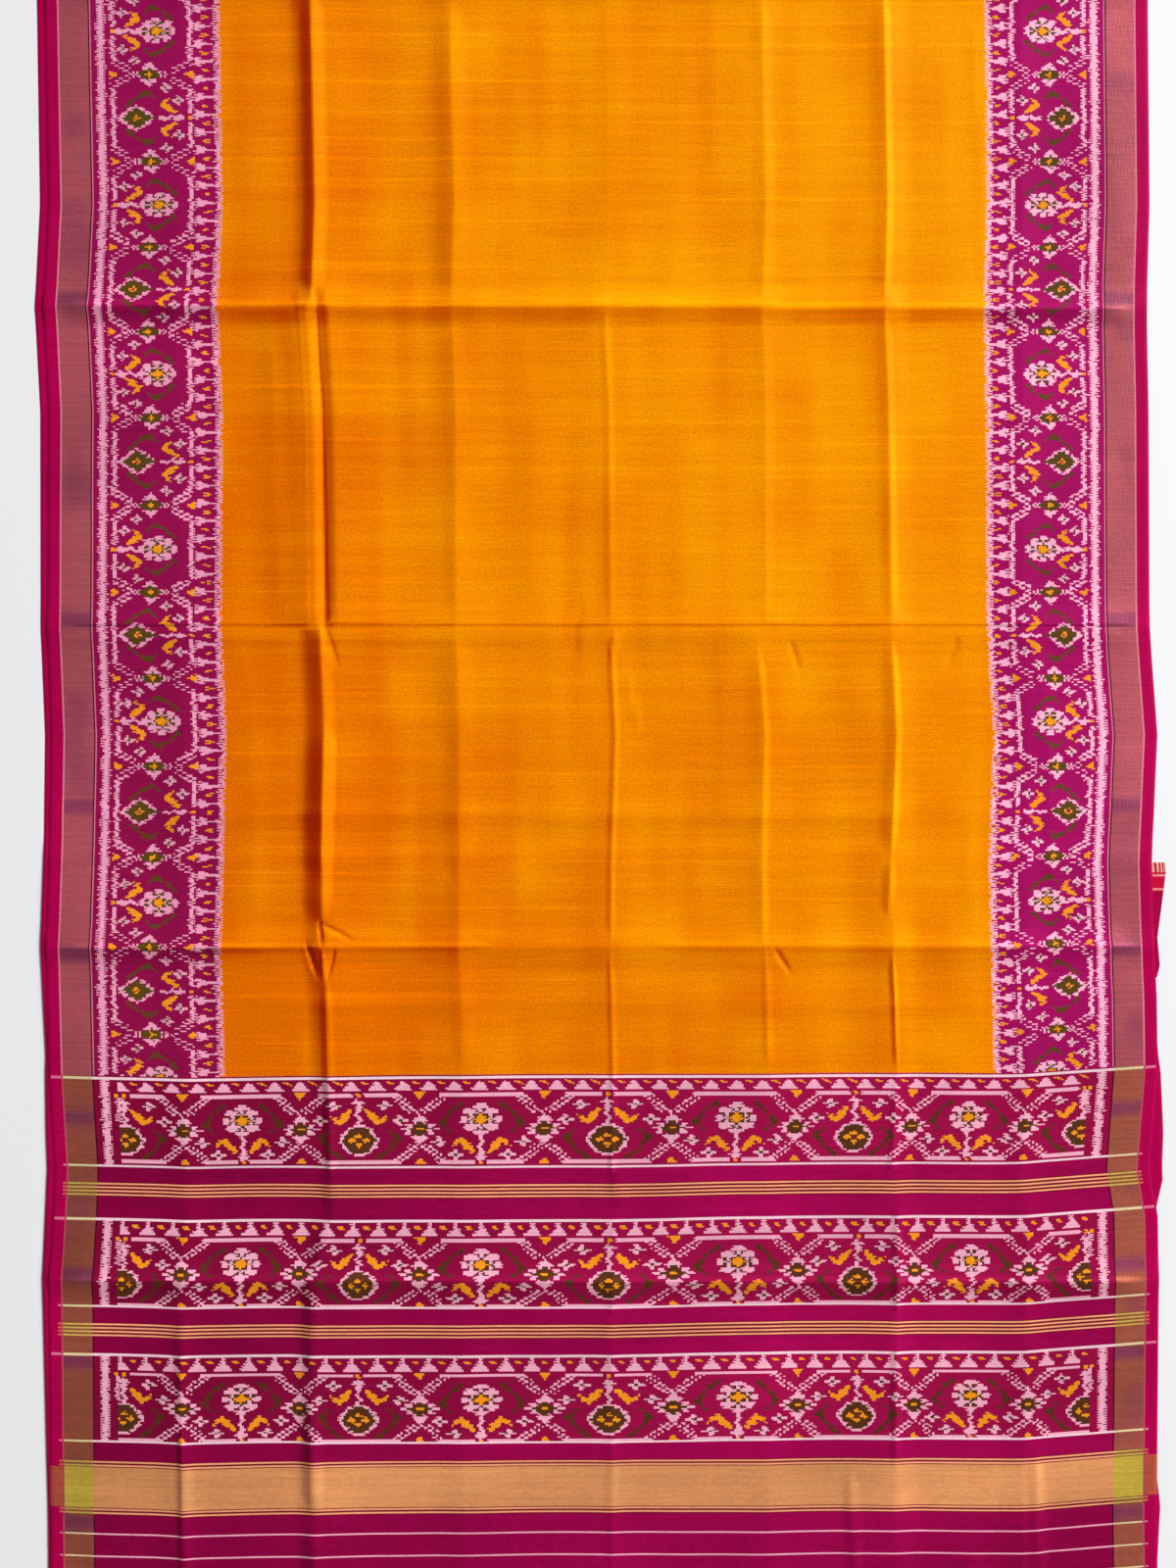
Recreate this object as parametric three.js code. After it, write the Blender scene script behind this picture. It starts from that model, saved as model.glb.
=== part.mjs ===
// Patola saree laid flat and folded back on itself: the pallu lies on top towards the viewer, the far fold
// is behind it, and two more layers lie beneath. Millimetres, +Z up, +Y towards the far fold.
// The origin is on the surface the saree lies on, under the middle of the whole.
import * as THREE from "three";

// Driving dimensions of the cloth
const clothWidth = 1130; // selvedge to selvedge
const wall = 1.2; // one layer of cloth with the air it holds
const seamGap = 0.3; // between neighbouring pieces
const leftBorderWidth = 180;
const rightBorderWidth = 168;

// Where things lie along the top layer, measured from the far fold towards the pallu's end
const fieldEnd = 1760; // the orange field gives way to the pallu
const figuredEnd = 2151; // the ikat bands give way to the gold band
const palluEnd = 2450;
const innerEnd = 1545; // raw inner end of the cloth, in the lowest layer
const lowerFold = 2296; // where the second layer turns back under itself
const slopeLength = 46; // over which the top layer comes down beyond the lower fold

// The soft roll of the far fold
const rollHeight = 5.5; // how far it lifts the top layer above the flat stack
const rollReach = 95;
const rollCentre = 6.96; // how far the roll's centre line lies in from its outermost point

// Half the whole length. The cloth's centre line is also the middle of the whole, from side to side.
const middleDown = palluEnd / 2;

// Edges of the top layer, as distances left and right of the cloth's centre line
const topEdges = [
  { down: 0, left: 566, right: 556 },
  { down: 326, left: 571, right: 554 },
  { down: 652, left: 567, right: 558 },
  { down: 874, left: 563, right: 560 },
  { down: 978, left: 568, right: 557 },
  { down: 1085, left: 563, right: 559 },
  { down: 1306, left: 564, right: 560 },
  { down: 1415, left: 560, right: 568 },
  { down: 1545, left: 562, right: 562 },
  { down: 1631, left: 565, right: 567 },
  { down: 1760, left: 562, right: 568 },
  { down: 1858, left: 556, right: 560 },
  { down: 1905, left: 558, right: 568 },
  { down: 1970, left: 562, right: 569 },
  { down: 2210, left: 560, right: 567 },
  { down: 2450, left: 558, right: 570 },
];

// How far the hidden layers reach past the top layer's edges
const hiddenEdges = [
  { down: 0, leftPast: 4, rightPast: -5 },
  { down: 652, leftPast: 8, rightPast: -4 },
  { down: 978, leftPast: 9, rightPast: -3 },
  { down: 1306, leftPast: 7, rightPast: -5 },
  { down: 1545, leftPast: 6, rightPast: -6 },
  { down: 1631, leftPast: 6, rightPast: -5 },
  { down: 1740, leftPast: 3, rightPast: 1 },
  { down: 1820, leftPast: 7, rightPast: 11 },
  { down: 1865, leftPast: 8, rightPast: 13 },
  { down: 1905, leftPast: 8, rightPast: -3 },
  { down: 2150, leftPast: 4, rightPast: -3 },
  { down: 2200, leftPast: 3, rightPast: 4 },
  { down: 2296, leftPast: 3, rightPast: -2 },
];

// Creases of the folding across the width, in eighths: each runs the whole length as a soft ridge.
// fieldHeight and palluHeight are its heights in the field and in the pallu.
const longCreases = [
  { over: 138, fieldHeight: 1.6, palluHeight: 2.6, leftReach: 34, rightReach: 30 },
  { over: 280, fieldHeight: 6.5, palluHeight: 3.6, leftReach: 24, rightReach: 78 },
  { over: 422, fieldHeight: 2.8, palluHeight: 1.6, leftReach: 26, rightReach: 60 },
  { over: 572, fieldHeight: 1.6, palluHeight: 1.8, leftReach: 40, rightReach: 36 },
  { over: 732, fieldHeight: 2.6, palluHeight: 1.4, leftReach: 52, rightReach: 30 },
  { over: 862, fieldHeight: 4.2, palluHeight: 3.2, leftReach: 58, rightReach: 26 },
  { over: 996, fieldHeight: 1.4, palluHeight: 2.2, leftReach: 30, rightReach: 30 },
];

// Creases of the folding along the length: each runs from selvedge to selvedge
const crossCreases = [
  { down: 326, height: 2.6, reach: 30 },
  { down: 652, height: 2.8, reach: 30 },
  { down: 978, height: 3.8, reach: 26 },
  { down: 1306, height: 2.6, reach: 34 },
  { down: 1495, height: 1.2, reach: 34 },
  { down: 1631, height: 3.6, reach: 28 },
  { down: 1970, height: 3.2, reach: 26 },
];

// The corner of the inner end that shows at the right, as distances right of the centre line
const innerCorner = [
  { down: 1545, right: 576 },
  { down: 1556, right: 577 },
  { down: 1580, right: 574 },
  { down: 1622, right: 568.5 },
  { down: 1650, right: 571 },
  { down: 1662, right: 568 },
];

// How the creases and the hidden layers are drawn
const highCrease = 3; // a higher crease gets shoulders
const shoulder = 1 / 2.6; // where they lie, as a share of the crease's reach
const edgeFlat = 60; // a crossing crease sinks over this width beside a selvedge
const palluEase = 60; // the creases change over this length each side of the field's end
const layerRise = 30; // the top layer climbs onto the third layer over this length
const foldTurns = [180, 150, 120, 90, 60, 30]; // degrees round the far fold, from the surface upwards
const noseTurns = [30, 60, 80]; // degrees round the lower fold
const closestStations = 9;
const turnsOfEdge = [1415, 1858, 1905, 2210]; // rows of the edge table that get a station of their own

const radians = THREE.MathUtils.degToRad;
const smooth = THREE.MathUtils.smoothstep;

// The value of a table's column at a place along the cloth, straight between its rows
function column(rows, name, down) {
  const next = rows.findIndex((row) => row.down >= down);
  if (next === 0) return rows[0][name];
  if (next < 0) return rows[rows.length - 1][name];
  const [a, b] = [rows[next - 1], rows[next]];
  return THREE.MathUtils.mapLinear(down, a.down, b.down, a[name], b[name]);
}

// Height of a crease beside its line: a ridge with a soft crest and a hollow run-out
function ridge(distance, reach) {
  const share = Math.min(Math.abs(distance) / reach, 1);
  return (1 - share) ** 2 * (1 + share);
}

// Height of the flat stack under the top layer: one hidden layer, then two, then the bare surface
function stackUnder(down) {
  const layer = wall + seamGap;
  const second = smooth(down, innerEnd - layerRise, innerEnd);
  const bare = smooth(down, lowerFold, lowerFold + slopeLength);
  const roll = rollHeight * (1 - Math.min(down / rollReach, 1)) ** 2;
  return (layer * (1 + second) + roll) * (1 - bare);
}

// Height of the top layer's underside. over runs across the cloth from its left edge.
function underside(over, down) {
  const inPallu = smooth(down, fieldEnd - palluEase, fieldEnd + palluEase);
  const fromEdge = Math.min(over, clothWidth - over);
  let height = stackUnder(down);
  for (const crease of longCreases) {
    const crest = THREE.MathUtils.lerp(crease.fieldHeight, crease.palluHeight, inPallu);
    const distance = over - crease.over;
    height += crest * ridge(distance, distance < 0 ? crease.leftReach : crease.rightReach);
  }
  for (const crease of crossCreases) {
    const crest = crease.height * (0.5 + 0.5 * smooth(fromEdge, 0, edgeFlat));
    height += crest * ridge(down - crease.down, crease.reach);
  }
  return height * smooth(palluEnd - down, -palluEase, palluEase);
}

// Plan position of a point of the top layer
function planX(over, down) {
  const left = -column(topEdges, "left", down);
  const right = column(topEdges, "right", down);
  return left + ((right - left) * over) / clothWidth;
}

const planY = (down) => middleDown - down;

const pointAt = (over, down, height) => new THREE.Vector3(planX(over, down), planY(down), height);

// Stations at each crease's crest and ends, at the shoulders of the high ones, and at the places given.
// One that is too near the station before it is left out, unless it is a crest or a given place.
function stationsOf(creases, places) {
  const crests = creases.map((crease) => crease.centre);
  const all = [...places, ...crests];
  for (const { centre, before, after, height } of creases) {
    all.push(centre - before, centre + after);
    if (height > highCrease) all.push(centre - before * shoulder, centre + after * shoulder);
  }
  all.sort((a, b) => a - b);
  const fixed = new Set([...places, ...crests]);
  const kept = [];
  for (const at of all) {
    const last = kept[kept.length - 1];
    if (kept.length === 0 || at - last >= closestStations) kept.push(at);
    else if (fixed.has(at) && !fixed.has(last)) kept[kept.length - 1] = at;
    else if (fixed.has(at) && at !== last) kept.push(at);
  }
  return kept;
}

// Stations across the cloth: its creases, its seams and where the crossing creases sink
const rightSeam = clothWidth - rightBorderWidth;
const overStations = stationsOf(
  longCreases.map(({ over, fieldHeight, leftReach, rightReach }) => {
    return { centre: over, before: leftReach, after: rightReach, height: fieldHeight };
  }),
  [0, edgeFlat / 2, leftBorderWidth, rightSeam, clothWidth - edgeFlat / 2, clothWidth],
);

// Stations along the cloth: its creases, its seams, the roll, the turns of its edges, and the slope
// where the top layer comes down beyond the lower fold
const downStations = stationsOf(
  crossCreases.map(({ down, height, reach }) => {
    return { centre: down, before: reach, after: reach, height };
  }),
  [
    ...[rollCentre, rollReach * 0.2, rollReach * 0.35, rollReach * 0.6, rollReach],
    ...turnsOfEdge,
    ...[innerEnd - layerRise, innerEnd, fieldEnd, figuredEnd],
    ...[0, 1 / 3, 2 / 3, 1].map((share) => lowerFold + share * slopeLength),
    palluEnd,
  ],
);

// The stations between two ends, with the ends
const stationsFrom = (stations, first, last) => {
  return [first, ...stations.filter((at) => at > first + 1 && at < last - 1), last];
};

// A closed solid through rings of the same number of points. A wall's ring runs along its upper side and
// back along its lower side, so its ends close straight across, and the strips of its lower side split
// their faces on the other diagonal: two surfaces that face each other then split alike. A filled ring's
// ends close round a point in its middle.
function loft(rings, isWall) {
  const count = rings[0].length;
  const points = rings.flat();
  const faces = [];
  for (let i = 0; i + 1 < rings.length; i++)
    for (let j = 0; j < count; j++) {
      const [a, b] = [i * count + j, i * count + ((j + 1) % count)];
      const [c, d] = [b + count, a + count];
      if (isWall && j >= count / 2) faces.push(a, d, b, b, d, c);
      else faces.push(a, c, b, a, d, c);
    }
  const close = (ring, start, forward) => {
    const triangle = (a, b, c) => faces.push(a, forward ? b : c, forward ? c : b);
    if (isWall) {
      for (let j = 0; j + 1 < count / 2; j++) {
        const [a, b, c, d] = [j, j + 1, count - 2 - j, count - 1 - j].map((k) => start + k);
        triangle(a, b, d);
        triangle(b, c, d);
      }
      return;
    }
    const groove = ring[(rimRows.length - 1) / 2];
    const hub = points.push(ring[0].clone().lerp(ring[count - 1], 0.5).setZ(groove.z)) - 1;
    for (let j = 0; j < count; j++) triangle(start + j, start + ((j + 1) % count), hub);
  };
  close(rings[0], 0, true);
  close(rings[rings.length - 1], (rings.length - 1) * count, false);
  const numbers = points.flatMap((point) => point.toArray());
  const geometry = new THREE.BufferGeometry();
  geometry.setAttribute("position", new THREE.Float32BufferAttribute(numbers, 3));
  geometry.setIndex(faces);
  return geometry;
}

// One stretch of the top layer as a wall of cloth, with half a seam's gap at each side that meets
// another stretch. A stretch that starts at the far fold turns down round it to the surface beneath.
function clothWall(overFrom, overTo, downFrom, downTo) {
  const atFold = downFrom === rollCentre;
  const left = overFrom === 0 ? overFrom : overFrom + seamGap / 2;
  const right = overTo === clothWidth ? overTo : overTo - seamGap / 2;
  const first = atFold ? downFrom : downFrom + seamGap / 2;
  const last = downTo === palluEnd ? downTo : downTo - seamGap / 2;
  const overs = stationsFrom(overStations, left, right);
  const rings = atFold ? foldTurns.map((turn) => foldRing(overs, radians(turn))) : [];
  for (const down of stationsFrom(downStations, first, last)) {
    const upper = overs.map((over) => pointAt(over, down, underside(over, down) + wall));
    const lower = overs.map((over) => pointAt(over, down, underside(over, down)));
    rings.push([...upper, ...lower.reverse()]);
  }
  return loft(rings, true);
}

// A ring of the far fold's roll: turn is 0 where the top layer begins and half a turn at the surface
function foldRing(overs, turn) {
  const onArc = (over, inward) => {
    const middle = (underside(over, rollCentre) + wall) / 2;
    const radius = middle - inward;
    const y = planY(rollCentre) + radius * Math.sin(turn);
    return new THREE.Vector3(planX(over, rollCentre), y, middle + radius * Math.cos(turn));
  };
  const outer = overs.map((over) => onArc(over, 0));
  const inner = overs.map((over) => onArc(over, wall));
  return [...outer, ...inner.reverse()];
}

// The side of the hidden layers from the surface upwards: two rounded edges with a groove between them.
// share is the height as a share of the whole, and out is how far the row stands out.
const rimRows = [
  { share: 0, out: -0.5 },
  { share: 0.22, out: 0 },
  { share: 0.44, out: -0.5 },
  { share: 0.5, out: -4 },
  { share: 0.56, out: -0.5 },
  { share: 0.78, out: 0 },
  { share: 1, out: -0.5 },
];
const grooveRow = rimRows[(rimRows.length - 1) / 2];

// Where the edge of the hidden layers lies, from the centre line
const hiddenLeft = (down) => column(topEdges, "left", down) + column(hiddenEdges, "leftPast", down);
const hiddenRight = (down) => column(topEdges, "right", down) + column(hiddenEdges, "rightPast", down);

// One ring of the hidden layers. The groove at each side is there only beside the third layer. flatten
// brings the ring's heights together, and forward moves it towards the viewer, round the lower fold.
function hiddenRing(down, flatten, forward) {
  const grooveDepth = smooth(down, innerEnd - layerRise, innerEnd);
  const y = planY(down) - forward;
  const topOf = (over) => underside(over, down) - seamGap;
  const middle = topOf(0) / 2;
  const heightOf = (over, share) => middle + (share * topOf(over) - middle) * flatten;
  const side = (edgeX, way, over) => {
    return rimRows.map((row) => {
      const out = row === grooveRow ? row.out * grooveDepth : row.out;
      return new THREE.Vector3(edgeX + way * out, y, heightOf(over, row.share));
    });
  };
  const inside = overStations.filter((over) => over > 0 && over < clothWidth - edgeFlat / 4);
  const top = inside.map((over) => new THREE.Vector3(planX(over, down), y, heightOf(over, 1)));
  const left = side(-hiddenLeft(down), -1, 0);
  const right = side(hiddenRight(down), 1, clothWidth);
  return [...left, ...top, ...right.reverse()];
}

// The two hidden layers as one solid, flat underneath and rounded at the lower fold
function hiddenLayers() {
  const nose = (stackUnder(lowerFold) - seamGap) / 2;
  const flatEnd = lowerFold - nose;
  const downs = stationsFrom(downStations, rollCentre + seamGap, flatEnd);
  const rings = downs.map((down) => hiddenRing(down, 1, 0));
  for (const turn of noseTurns.map(radians))
    rings.push(hiddenRing(flatEnd, Math.cos(turn), nose * Math.sin(turn)));
  return loft(rings, false);
}

// The corner of the inner end beside the hidden layers, flat on the surface
function innerEndCorner() {
  const outer = innerCorner.map((row) => new THREE.Vector2(row.right, planY(row.down)));
  const inner = innerCorner.map((row) => {
    return new THREE.Vector2(hiddenRight(row.down) + seamGap, planY(row.down));
  });
  const outline = new THREE.Shape([...outer, ...inner.reverse()]);
  return new THREE.ExtrudeGeometry(outline, { depth: wall, bevelEnabled: false });
}

const silk = (color, metalness) => {
  return new THREE.MeshStandardMaterial({ color, roughness: 0.5, metalness });
};
const orangeSilk = silk(0xf58c06, 0);
const magentaSilk = silk(0xaf006e, 0);
const palluSilk = silk(0x960050, 0);
const goldSilk = silk(0xe1a064, 0.3);
const crimsonSilk = silk(0xaf0a4b, 0);

const saree = new THREE.Group();

function addPiece(name, geometry, material) {
  const mesh = new THREE.Mesh(geometry, material);
  mesh.name = name;
  saree.add(mesh);
}

addPiece("body_field", clothWall(leftBorderWidth, rightSeam, rollCentre, fieldEnd), orangeSilk);
addPiece("border_left", clothWall(0, leftBorderWidth, rollCentre, fieldEnd), magentaSilk);
addPiece("border_right", clothWall(rightSeam, clothWidth, rollCentre, fieldEnd), magentaSilk);
addPiece("pallu_figured", clothWall(0, clothWidth, fieldEnd, figuredEnd), palluSilk);
addPiece("pallu_end", clothWall(0, clothWidth, figuredEnd, palluEnd), goldSilk);
addPiece("folded_layers", hiddenLayers(), crimsonSilk);
addPiece("inner_end", innerEndCorner(), crimsonSilk);

export default saree;
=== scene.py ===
import math
from types import SimpleNamespace as Facts
import bpy
import numpy as np
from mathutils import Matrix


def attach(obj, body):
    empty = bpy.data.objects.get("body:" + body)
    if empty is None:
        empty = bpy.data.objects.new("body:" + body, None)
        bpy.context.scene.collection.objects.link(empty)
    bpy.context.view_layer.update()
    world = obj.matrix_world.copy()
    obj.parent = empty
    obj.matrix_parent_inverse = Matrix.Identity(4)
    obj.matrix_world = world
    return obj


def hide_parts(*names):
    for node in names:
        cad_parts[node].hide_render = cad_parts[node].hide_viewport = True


# Patola saree laid flat and folded back on itself, seen from straight above.
# Lengths in this script are millimetres until a mesh or a lamp is made. "over" runs across the cloth
# from its left selvedge, "down" runs along it from the far fold towards the pallu's end.

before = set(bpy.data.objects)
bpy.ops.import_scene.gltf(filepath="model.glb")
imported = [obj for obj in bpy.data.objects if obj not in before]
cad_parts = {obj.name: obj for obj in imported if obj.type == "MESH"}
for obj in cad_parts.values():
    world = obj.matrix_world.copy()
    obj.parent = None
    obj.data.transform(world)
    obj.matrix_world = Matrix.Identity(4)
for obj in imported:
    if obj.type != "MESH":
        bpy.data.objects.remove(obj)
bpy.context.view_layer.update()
print("frame loaded")

mm = 0.001  # one millimetre in the scene's unit

cloth = Facts(
    width=1130,
    wall=1.2,  # one layer of silk with the air it holds
    layerGap=0.3,
    leftBorder=180,
    rightBorder=168,
    halfway=960,  # where the long stretches are split in two
    fieldEnd=1760,
    figuredEnd=2151,
    palluEnd=2450,
    innerEnd=1545,  # raw inner end, in the lowest layer
    lowerFold=2296,
    slope=46,  # over which the top layer comes down past the lower fold
    rollHeight=5.5,
    rollReach=95,
    rollCentre=6.96,
    palluEase=60,
    edgeFlat=60,
    layerRise=30,
)
middleDown = cloth.palluEnd / 2

# edges of the top layer, left and right of the cloth's centre line
topEdges = np.array([
    # down, left, right
    (0, 566, 556), (326, 571, 554), (652, 567, 558), (874, 563, 560), (978, 568, 557), (1085, 563, 559),
    (1306, 564, 560), (1415, 560, 568), (1545, 562, 562), (1631, 565, 564.5), (1683, 564, 567),
    (1760, 562, 568), (1858, 556, 560), (1905, 558, 568), (1970, 562, 569), (2210, 560, 567),
    (2450, 558, 570),
])
# how far the hidden layers reach past them
hiddenEdges = np.array([
    # down, past the left, past the right
    (0, 4, -5), (652, 8, -4), (978, 9, -3), (1306, 7, -5), (1545, 6, -6), (1631, 6, -5), (1740, 3, 1),
    (1820, 7, 11), (1865, 8, 13), (1905, 8, -3), (2150, 4, -3), (2200, 3, 4), (2296, 3, -2),
])
# pressed folds that run the whole length
longCreases = [
    # over, height in the field, height in the pallu, reach to the left, reach to the right
    (138, 1.6, 2.6, 34, 30), (280, 6.5, 3.6, 24, 78), (422, 2.2, 1.6, 34, 60), (572, 1.2, 1.8, 44, 36),
    (732, 1.7, 1.4, 60, 34), (862, 3.2, 3, 62, 28), (996, 1.4, 2.2, 30, 30),
]
# pressed folds from selvedge to selvedge
crossCreases = [
    # down, height, reach
    (326, 2.6, 30), (652, 2.8, 30), (978, 3.8, 26), (1306, 2.6, 34), (1495, 1.2, 34), (1631, 3.6, 28),
    (1970, 3.2, 26),
]
# how far each lengthwise fold wanders from its line
foldWander = {
    # over: (down, shift)
    280: [(0, -2), (340, -6), (665, -7), (970, -5), (985, 2), (1300, 11), (1308, 1), (1500, 2), (1600, 3),
          (1640, 4), (1700, 8), (1900, 7), (1960, -4), (2060, -10), (2220, -9), (2450, -6)],
    422: [(0, 3), (665, -6), (975, -4), (1310, -3), (1540, -2), (2450, 0)],
    572: [(0, 0), (1300, 4), (1640, 3), (2450, 0)],
    732: [(0, -3), (665, 2), (1300, 5), (1310, -5), (1640, 0), (2450, -2)],
    862: [(0, 3), (665, -3), (975, -1), (1320, 2), (1500, 0), (1640, 1), (2450, 0)],
    138: [(0, 4), (1000, -3), (1800, 0), (2060, -3), (2450, 0)],
    996: [(0, 0), (1200, 5), (2450, -4)],
}
# sharper creases on and between the folds: from and to in over and down, height, reach before and
# after the line (left and right of a lengthwise one, far and near of a crossing one)
smallCreases = [
    (275, 60, 273, 320, 2.2, 14, 12), (274, 332, 274, 648, 2.6, 15, 14), (274, 656, 276, 976, 3, 15, 15),
    (262, 958, 268, 1312, 5, 60, 26), (280, 958, 286, 1318, -4.8, 12, 14),
    (280, 1309, 280, 1560, 3.2, 30, 14), (280, 1400, 281, 1606, 3.8, 30, 13),
    (279, 1604, 283, 1632, -2.2, 5, 5), (279, 1606, 314, 1624, -1.7, 5, 5),
    (265, 1624, 276, 1662, -2.2, 4, 7), (296, 1632, 287, 1664, -2.2, 7, 4),
    (283, 1634, 283, 1662, 1.6, 5, 5), (288, 1308, 298, 1348, -1, 10, 5),
    (285, 1660, 285, 1910, 1.5, 8, 9), (278, 1912, 270, 1960, 1.2, 12, 14),
    (268, 1965, 266, 2070, 1.9, 13, 18), (266, 2080, 268, 2210, 2.6, 13, 16),
    (268, 2214, 270, 2420, 1.6, 16, 18), (418, 332, 424, 648, 1.1, 18, 20),
    (414, 670, 418, 974, 2, 22, 24), (418, 990, 420, 1300, 1.2, 18, 22),
    (419, 1312, 416, 1440, 1.8, 26, 22), (416, 1420, 421, 1560, 1.8, 22, 24),
    (420, 1540, 424, 1756, 1, 16, 16), (575, 985, 578, 1300, 0.9, 9, 7),
    (582, 1308, 577, 1340, 1.2, 7, 7), (577, 1320, 576, 1628, 1.3, 7, 6), (575, 1634, 575, 1900, 1.2, 6, 6),
    (574, 1902, 572, 2440, 0.8, 10, 9), (548, 1270, 536, 1352, -0.8, 9, 8),
    (590, 1345, 602, 1420, 0.8, 12, 9), (732, 335, 730, 645, 1, 18, 16),
    (734, 660, 737, 972, 1.3, 18, 12), (736, 984, 736, 1300, 1, 20, 12),
    (727, 1325, 731, 1628, 1.5, 18, 8), (742, 1632, 758, 1658, -1.3, 6, 6),
    (733, 1634, 733, 1756, 1, 8, 7), (760, 1318, 769, 1352, -0.9, 7, 7), (864, 20, 866, 320, 1.6, 14, 10),
    (862, 332, 858, 648, 1.4, 18, 9), (859, 656, 861, 974, 1.8, 18, 8), (861, 982, 866, 1300, 1.5, 14, 8),
    (864, 1318, 862, 1540, 2.4, 16, 7), (862, 1540, 858, 1600, 1.8, 10, 8),
    (862, 1634, 864, 1758, 1.8, 6, 4), (864, 1760, 862, 2160, 1.3, 8, 8),
    (816, 2160, 822, 2290, 1.5, 12, 12), (1004, 2140, 1010, 2300, 1.6, 12, 12),
    (134, 2000, 135, 2110, 1.8, 9, 12), (135, 2110, 136, 2440, 2.2, 6, 14),
    (200, 1318, 214, 1600, 0.8, 26, 22), (150, 700, 160, 960, 0.8, 20, 22),
    (100, 1010, 110, 1290, 0.8, 22, 20), (232, 1010, 236, 1280, 0.8, 26, 16),
    (690, 1320, 684, 1500, 0.8, 18, 26), (348, 1330, 352, 1600, 0.8, 28, 22),
    (492, 1000, 500, 1290, 0.7, 26, 22), (655, 700, 640, 970, 0.8, 22, 26),
    (950, 690, 964, 965, 0.9, 14, 20), (934, 1310, 918, 1352, -1.2, 9, 8),
    (940, 1500, 946, 1620, 0.7, 20, 22), (1010, 1310, 1030, 1600, 0.9, 16, 20),
    (1000, 350, 1016, 640, 0.9, 18, 20), (1000, 1920, 1012, 2000, 1, 14, 14),
    (0, 1305, 1125, 1305, -1.5, 3.5, 14), (0, 1310, 1130, 1306, 0.7, 16, 22),
    (150, 1631, 460, 1629, 1.2, 5, 8), (0, 1632, 240, 1631, 1.2, 5, 12),
    (620, 1629, 1130, 1630, 0.8, 5, 10), (10, 978, 1130, 982, 2.2, 7, 20), (300, 972, 760, 976, 1.1, 6, 8),
    (0, 1970, 1130, 1972, 1.8, 7, 24), (190, 1686, 970, 1690, 0.8, 14, 18),
    (240, 1495, 880, 1497, 0.9, 16, 20), (20, 652, 1120, 655, 1.6, 9, 12), (10, 326, 1120, 324, 1.5, 9, 12),
    (60, 180, 130, 320, 0.9, 18, 16), (330, 60, 372, 310, 0.9, 20, 20), (640, 120, 690, 320, 0.8, 24, 20),
    (1010, 100, 1030, 318, 0.8, 20, 18), (520, 345, 560, 640, 0.8, 22, 20),
    (180, 350, 236, 640, 0.8, 26, 20), (40, 2230, 90, 2420, 0.9, 18, 20),
    (560, 2250, 590, 2430, 0.8, 24, 20), (940, 2240, 930, 2420, 0.9, 20, 22),
]
# shallow unevenness: how far apart the swells are across and along, height, and where each starts
swells = [
    # across, along, height, start
    (310, 540, 0.55, 0.4), (173, 760, 0.45, 2.1), (430, 205, 0.45, 4.0), (97, 410, 0.26, 1.2),
    (58, 150, 0.11, 0.7),
]
swellSway = Facts(size=0.6, length=190, startShare=1.7)
creaseEnds = Facts(share=0.35, longest=28, overrun=5)  # how the ends of a small crease fade
fineLift = 0.6  # keeps the hollows of the fine form above the layer beneath
calmWithin = Facts(selvedge=40, fold=60, end=80)  # the fine form dies away near these


def smooth(x, start, end):
    share = np.clip((x - start) / (end - start), 0, 1)
    return share * share * (3 - 2 * share)


def lookUp(x, table, column=1):
    return np.interp(x, table[:, 0], table[:, column])


def within(x, start, end):
    return (x > start) & (x < end)


def fromSelvedge(over):
    return np.minimum(over, cloth.width - over)


def ridge(distance, reach):
    share = np.minimum(np.abs(distance) / reach, 1)
    return (1 - share) ** 2 * (1 + share)


def stackUnder(down):
    layer = cloth.wall + cloth.layerGap
    second = smooth(down, cloth.innerEnd - cloth.layerRise, cloth.innerEnd)
    bare = smooth(down, cloth.lowerFold, cloth.lowerFold + cloth.slope)
    roll = cloth.rollHeight * (1 - np.clip(down / cloth.rollReach, 0, 1)) ** 2
    return (layer * (1 + second) + roll) * (1 - bare)


def underside(over, down):
    inPallu = smooth(down, cloth.fieldEnd - cloth.palluEase, cloth.fieldEnd + cloth.palluEase)
    height = stackUnder(down)
    for at, field, pallu, leftReach, rightReach in longCreases:
        crest = field + (pallu - field) * inPallu
        wander = np.array(foldWander[at])
        aside = over - at - lookUp(down, wander)
        height = height + crest * ridge(aside, np.where(aside < 0, leftReach, rightReach))
    for at, crest, reach in crossCreases:
        sink = 0.5 + 0.5 * smooth(fromSelvedge(over), 0, cloth.edgeFlat)
        height = height + crest * sink * ridge(down - at, reach)
    return height * smooth(cloth.palluEnd - down, -cloth.palluEase, cloth.palluEase)


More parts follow.
